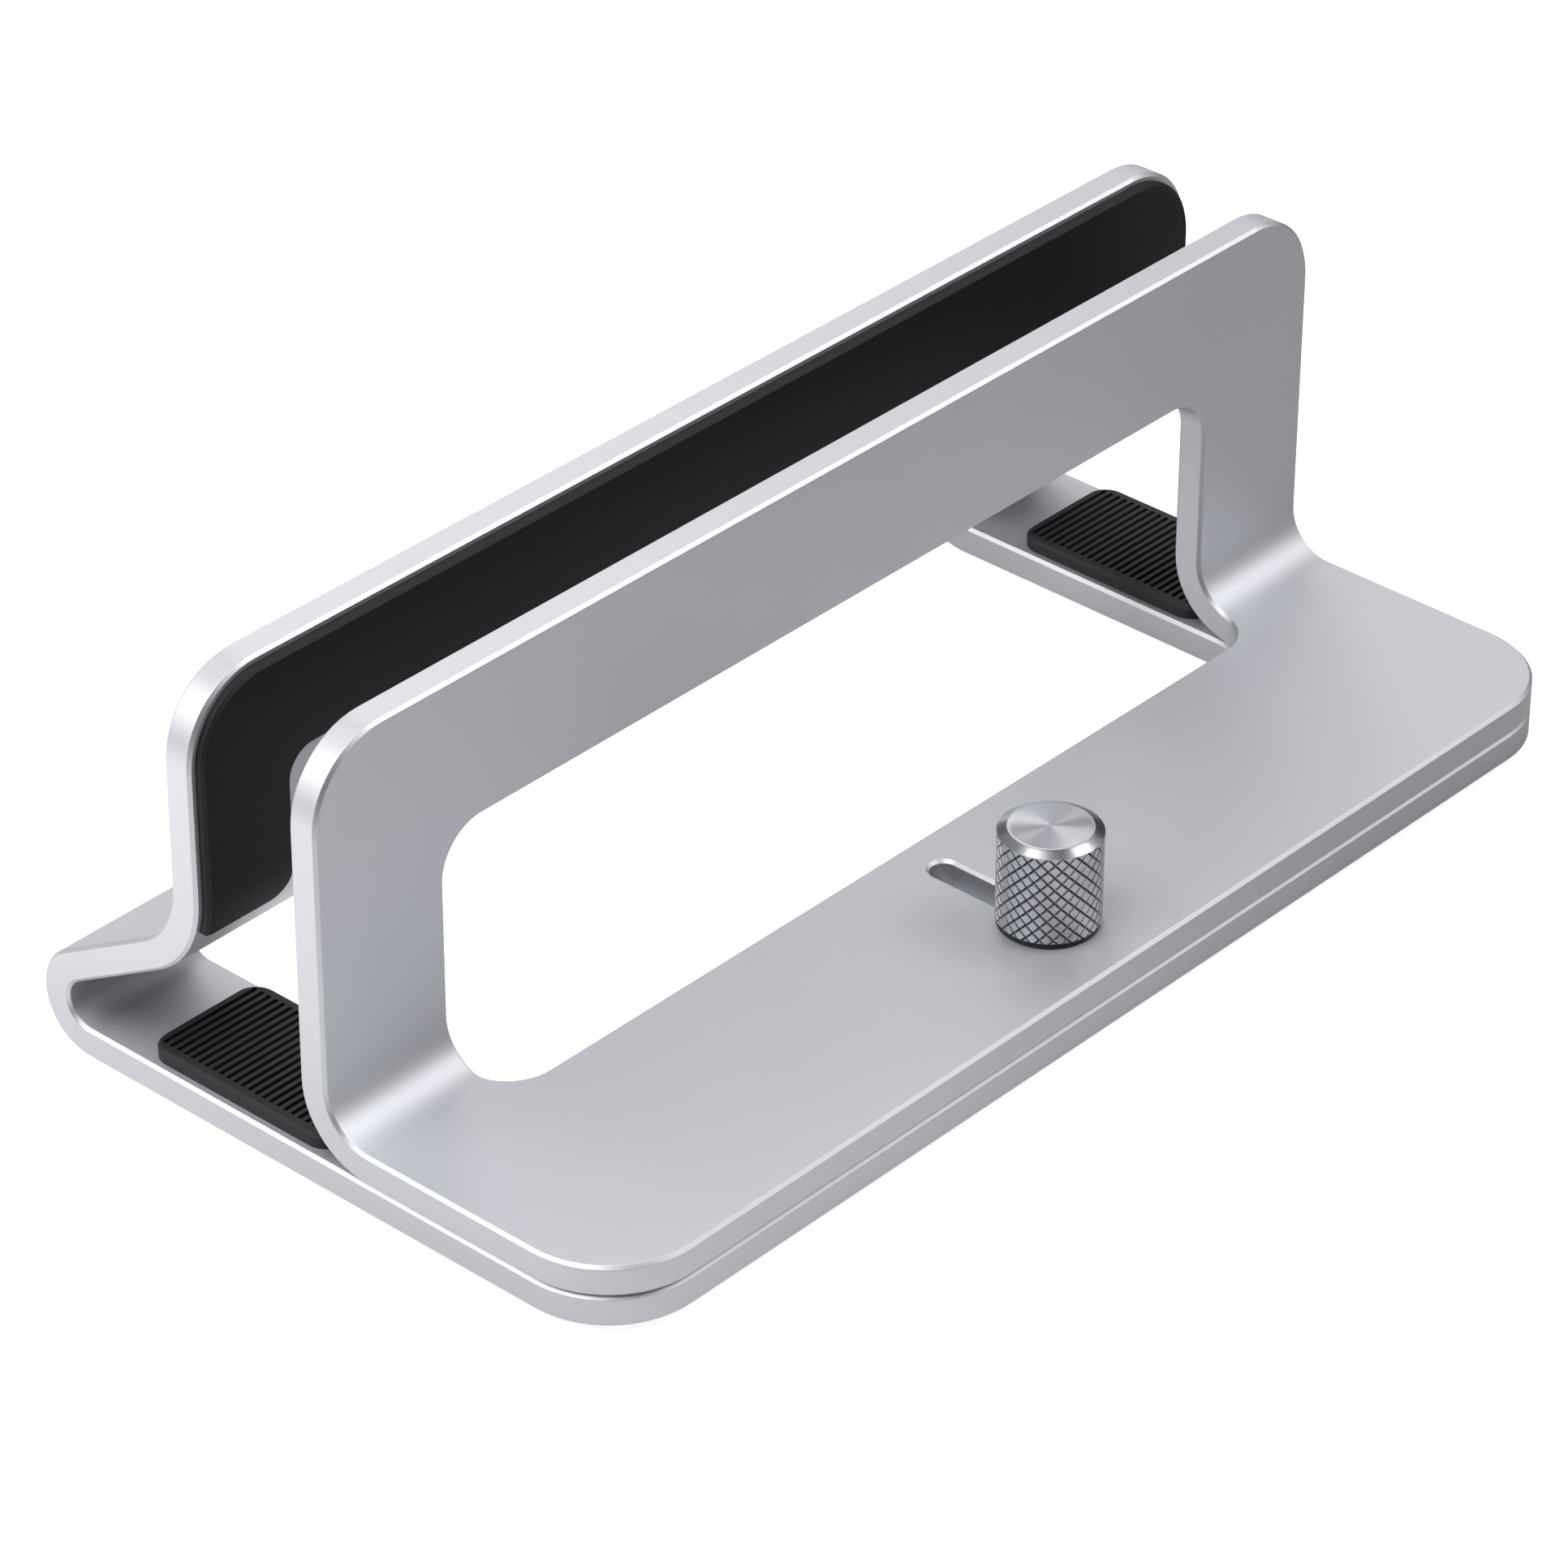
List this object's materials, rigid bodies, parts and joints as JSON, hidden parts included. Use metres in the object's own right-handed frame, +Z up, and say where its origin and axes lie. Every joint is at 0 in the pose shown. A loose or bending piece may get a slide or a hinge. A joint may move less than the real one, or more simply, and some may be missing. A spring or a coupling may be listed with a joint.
{
  "type": "vertical laptop stand",
  "caption": "Vertical laptop stand of folded aluminium sheet, with a sliding front bracket, a knurled clamp knob and dark pads",
  "frame": {"origin": "middle of the footprint, on the surface that the feet stand on", "axes": "+X along the stand, +Y towards the rear bracket's hairpin fold, +Z up"},
  "size_m": [0.17, 0.0886, 0.0576],
  "materials": {
    "anodised_sheet": "bead blasted, satin clear anodised",
    "turned_aluminium": "turned and diamond knurled, satin anodised",
    "pad_silicone": "matte moulded silicone",
    "ribbed_rubber": "matte ribbed rubber",
    "washer_nylon": "matte punched nylon",
    "steel": "zinc plated steel",
    "foot_silicone": "matte silicone"
  },
  "bodies": {
    "base": {"rear_bracket": "anodised_sheet", "rear_panel_pad": "pad_silicone", "left_rest_pad": "ribbed_rubber", "right_rest_pad": "ribbed_rubber", "threaded_insert": "steel", "front_left_foot": "foot_silicone", "front_right_foot": "foot_silicone", "rear_left_foot": "foot_silicone", "rear_right_foot": "foot_silicone"},
    "front": {"front_bracket": "anodised_sheet", "front_panel_pad": "pad_silicone"},
    "riding_washer": {"washer": "washer_nylon"},
    "clamp_knob": {"knob": "turned_aluminium", "clamp_screw": "steel"}
  },
  "joints": [
    {"name": "front_slide", "type": "slide", "parent": "base", "child": "front", "axis": [0, -1, 0], "range_m": [0, 0.0157]},
    {"name": "washer_rise", "type": "slide", "parent": "base", "child": "riding_washer", "axis": [0, 0, 1], "range_m": [0, 0.001]},
    {"name": "knob_turn", "type": "hinge", "parent": "riding_washer", "child": "clamp_knob", "pos_m": [0, -0.03255, 0.015], "axis": [0, 0, 1], "range_deg": [0, 720]}
  ],
  "couplings": [
    {"joint": "knob_turn", "follows": "washer_rise", "rad_per_m": 12566}
  ]
}
